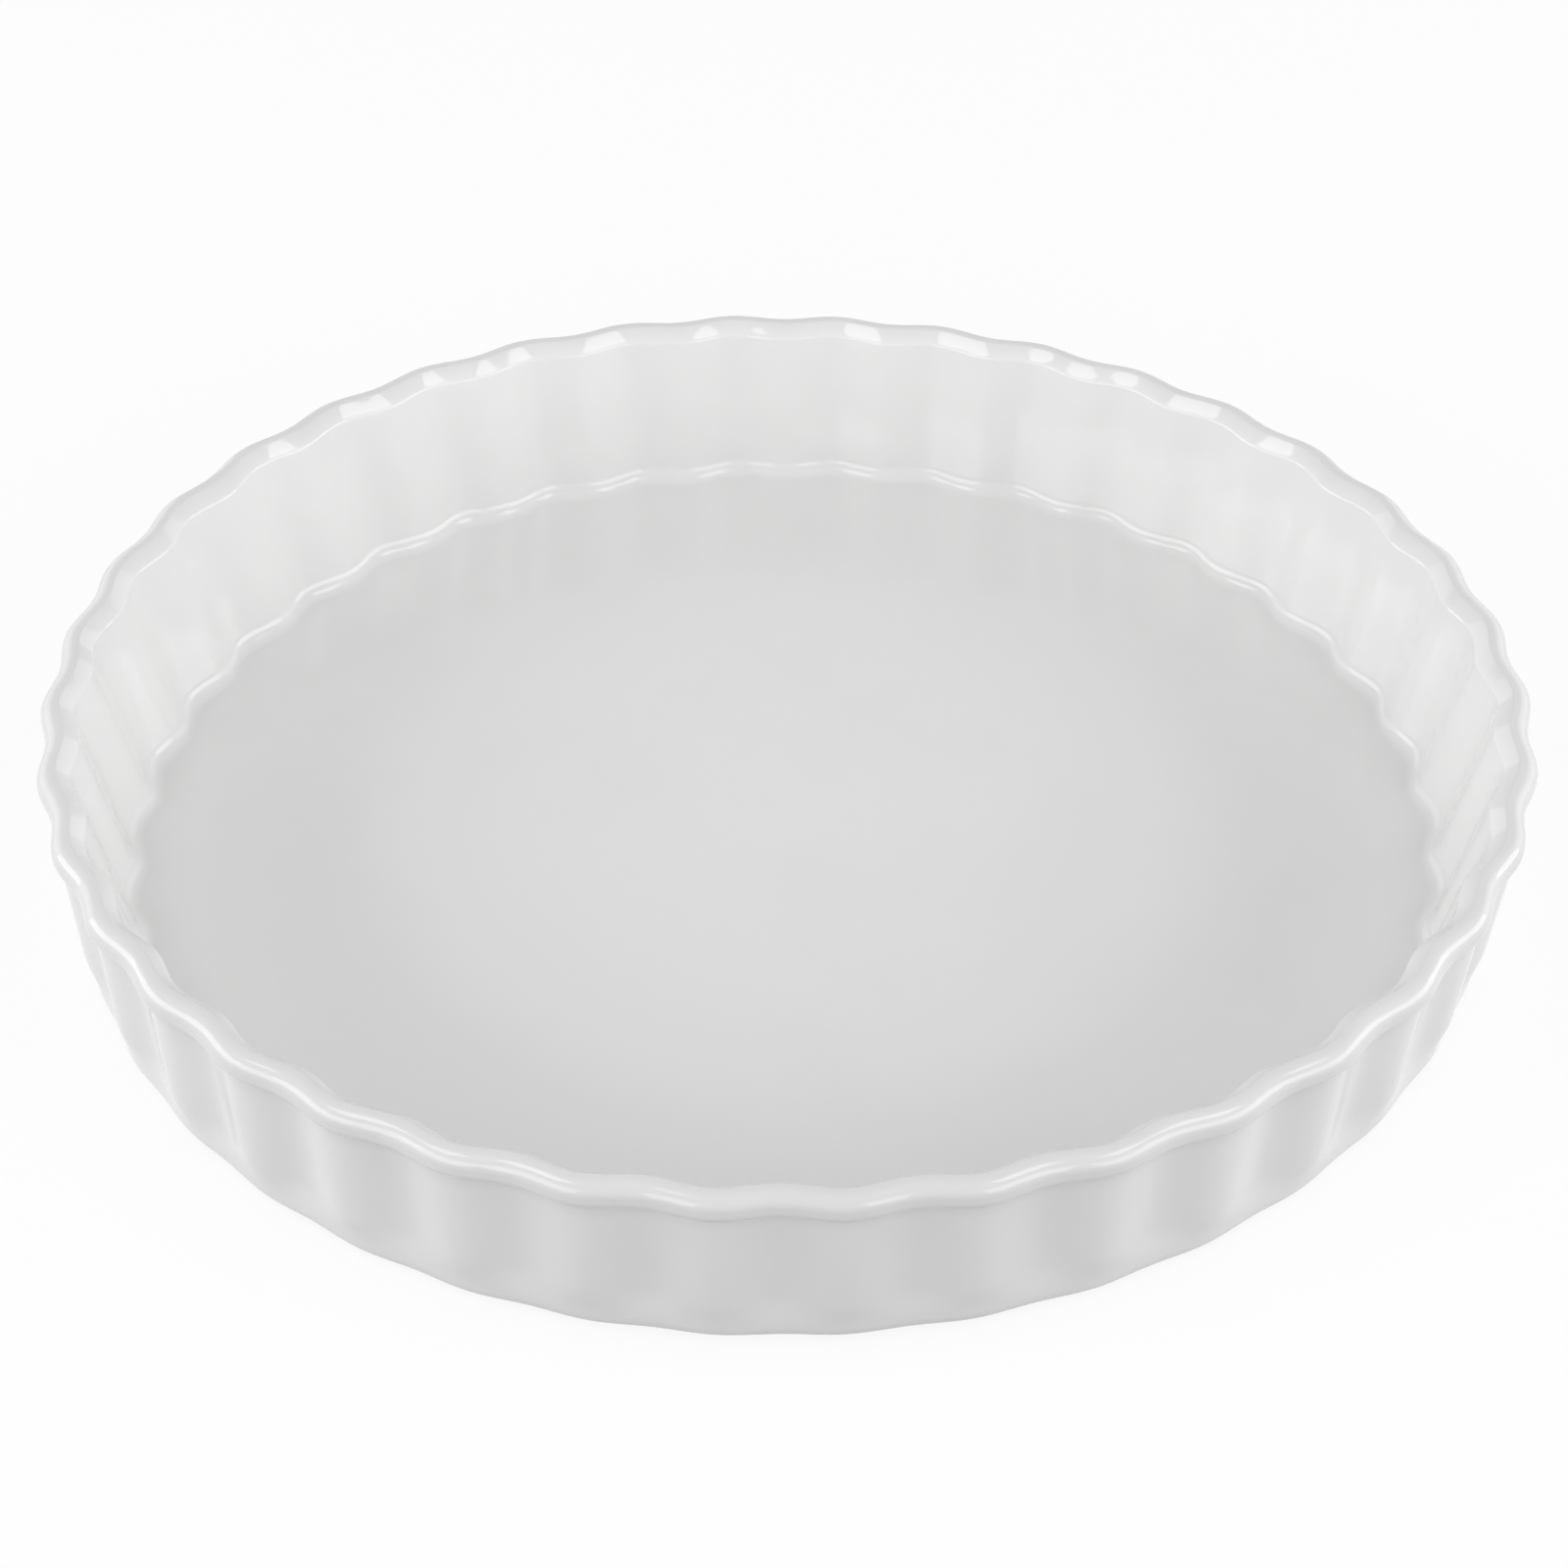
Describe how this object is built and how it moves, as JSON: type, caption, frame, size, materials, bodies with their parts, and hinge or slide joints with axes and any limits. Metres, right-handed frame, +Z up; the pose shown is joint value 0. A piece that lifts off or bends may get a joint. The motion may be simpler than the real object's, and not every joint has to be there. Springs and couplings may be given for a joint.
{
  "type": "fluted quiche dish",
  "caption": "Round white glazed quiche dish with a fluted wall, rolled rim bead, flat floor and low unglazed foot ring.",
  "frame": {"origin": "on the table under the middle of the dish, level with the flat face of the foot ring", "axes": "+Z up along the dish's middle axis, out of the open well; a crest of a flute lies on +X and on -X, a hollow on +Y and on -Y"},
  "size_m": [0.2816, 0.2806, 0.0375],
  "materials": {
    "fired_body": "unglazed fired stoneware, matt",
    "white_glaze": "clear glaze over white, gloss"
  },
  "bodies": {
    "root": {"dish_body": "fired_body", "glaze_coat": "white_glaze"}
  },
  "joints": []
}
